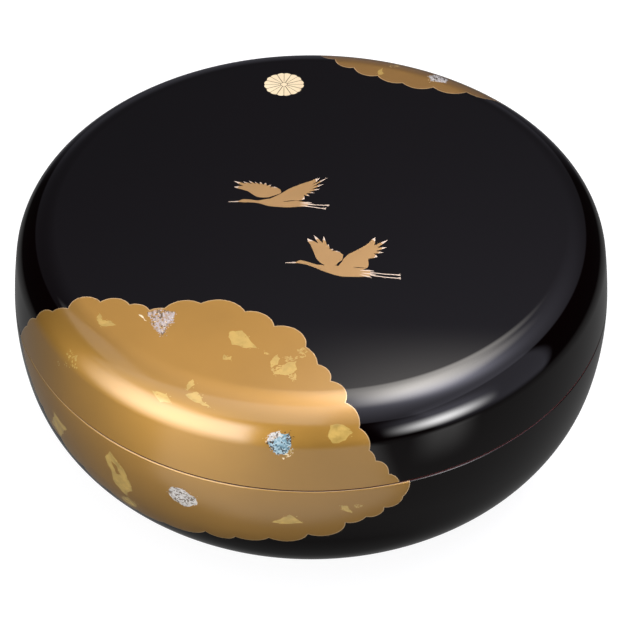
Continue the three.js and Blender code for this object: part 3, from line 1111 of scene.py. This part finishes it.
def direction(azimuth, height_angle):
    turn, rise = radians(azimuth), radians(height_angle)
    flat = cos(rise)
    return Vector((sin(turn) * flat, cos(turn) * flat, sin(rise)))


def dot_with(vector, axis):
    inputs = {0: vector, 1: tuple(axis)}
    return add_node("VectorMath", inputs, operation="DOT_PRODUCT")["Value"]


def soft_step(value, start, end):
    return mapped(value, 0.0, 1.0, start, end, interpolation_type="SMOOTHSTEP")


def panel_mask(vector, panel):
    """1 where a direction meets a panel, falling to 0 across its borders."""
    ahead = direction(panel.azimuth, panel.height_angle)
    turn = radians(panel.azimuth)
    right = Vector((cos(turn), -sin(turn), 0.0))
    up = right.cross(ahead) if panel.height_angle < 90 else Vector((0.0, 1.0, 0.0))
    depth = dot_with(vector, ahead)
    safe = math_node("MAXIMUM", depth, LEAST_DEPTH)
    mask = soft_step(depth, 0.0, FULL_DEPTH)
    for i, axis in enumerate((right, up)):
        place = math_node("DIVIDE", dot_with(vector, axis), safe)
        low, border = panel.low[i], panel.low_border[i]
        mask = math_node("MULTIPLY", mask, soft_step(place, low - border, low + border))
        high, border = panel.high[i], panel.high_border[i]
        outside = soft_step(place, high - border, high + border)
        mask = math_node("MULTIPLY", mask, math_node("SUBTRACT", 1.0, outside))
    return mask


def coloured(mask, colour):
    return add_node("VectorMath", {0: colour, "Scale": mask}, operation="SCALE")["Vector"]


def ceiling(vector):
    """The lit ceiling and rear wall, brighter round the softbox."""
    mask = 1.0
    for bound in CEILING_BOUNDS:
        step = soft_step(dot_with(vector, bound), -CEILING_BORDER, CEILING_BORDER)
        mask = math_node("MULTIPLY", mask, step)
    level = CEILING_LEVEL
    for lobe in CEILING_LOBES:
        towards = dot_with(vector, direction(lobe.azimuth, lobe.height_angle))
        raised = math_node("POWER", math_node("MAXIMUM", towards, 0.0), lobe.power)
        level = math_node("MULTIPLY_ADD", raised, lobe.level, level)
    return coloured(math_node("MULTIPLY", mask, level), COOL)


def make_light():
    world = bpy.data.worlds.new("studio")
    bpy.context.scene.world = world
    world.use_nodes = True
    nodes = world.node_tree.nodes
    vector = nodes.new("ShaderNodeTexCoord").outputs["Generated"]
    height = math_node("ARCSINE", dot_with(vector, (0, 0, 1)))
    stops = [((angle + 90.0) / 180.0, (DARK + level,) * 3) for angle, level in BELOW]
    total = ramp(mapped(height, 0.0, 1.0, -pi / 2, pi / 2), stops)
    glows = [ceiling(vector)]
    for panel in PANELS:
        colour = [panel.level * channel for channel in panel.tint]
        glows.append(coloured(panel_mask(vector, panel), colour))
    for glow in glows:
        total = add_node("VectorMath", {0: total, 1: glow}, operation="ADD")["Vector"]
    set_inputs(next(n for n in nodes if n.type == "BACKGROUND"), {"Color": total})


# Stage: a pale floor and a pale surround that only the camera sees

STAGE_RADIUS = 12.0
STAGE_SIDES = 96
FLOOR_COLOUR = (0.2, 0.2, 0.2, 1.0)
FLOOR_ROUGHNESS = 0.9
FLOOR_GLOW = 0.88  # keeps the floor pale where the box shades it
PALE = (1.0, 1.0, 1.0, 1.0)
# The surround, as shares of the stage's radius: height and reach
SURROUND_LEVELS = [(-0.2, 1.0), (0.5, 0.87), (0.87, 0.5), (1.0, 0.02)]


def stage_mesh(name, points, faces, material, unseen_by):
    mesh = bpy.data.meshes.new(name)
    mesh.from_pydata(points, [], faces)
    mesh.materials.append(material)
    made = bpy.data.objects.new(name, mesh)
    bpy.context.scene.collection.objects.link(made)
    for rays in unseen_by:
        setattr(made, "visible_" + rays, False)


def make_stage():
    sides = range(STAGE_SIDES)
    turns = [2 * pi * i / STAGE_SIDES for i in sides]
    rim = [(STAGE_RADIUS * cos(t), STAGE_RADIUS * sin(t)) for t in turns]
    glow = {"Emission Color": PALE, "Emission Strength": FLOOR_GLOW}
    even = {"Base Color": FLOOR_COLOUR, "Roughness": FLOOR_ROUGHNESS, **glow}
    paper, _ = new_material("floor_paper", even)
    floor = [(x, y, 0.0) for x, y in rim]
    stage_mesh("floor", floor, [tuple(sides)], paper, ("diffuse", "glossy"))

    pale = bpy.data.materials.new("surround_pale")
    pale.use_nodes = True
    nodes = pale.node_tree.nodes
    nodes.clear()
    light = nodes.new("ShaderNodeEmission")
    light.inputs["Color"].default_value = PALE
    set_inputs(nodes.new("ShaderNodeOutputMaterial"), {"Surface": light.outputs["Emission"]})
    points = []
    for rise, flat in SURROUND_LEVELS:
        points += [(x * flat, y * flat, STAGE_RADIUS * rise) for x, y in rim]
    faces = []
    for k in range(0, len(points) - STAGE_SIDES, STAGE_SIDES):
        for i in sides:
            j = (i + 1) % STAGE_SIDES
            faces.append((k + i, k + j, k + STAGE_SIDES + j, k + STAGE_SIDES + i))
    hidden = ("diffuse", "glossy", "transmission", "shadow")
    stage_mesh("surround", points, faces, pale, hidden)


make_camera()
make_light()
make_stage()
bpy.context.scene.view_settings.view_transform = "Standard"

finishes = {key: make_finish(*row) for key, row in FINISHES.items()}
lid = make_lid(finishes)
bowl = make_bowl(finishes)
for piece, node in ((lid, "lid"), (bowl, "body")):
    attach(piece, "root")
    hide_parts(node)
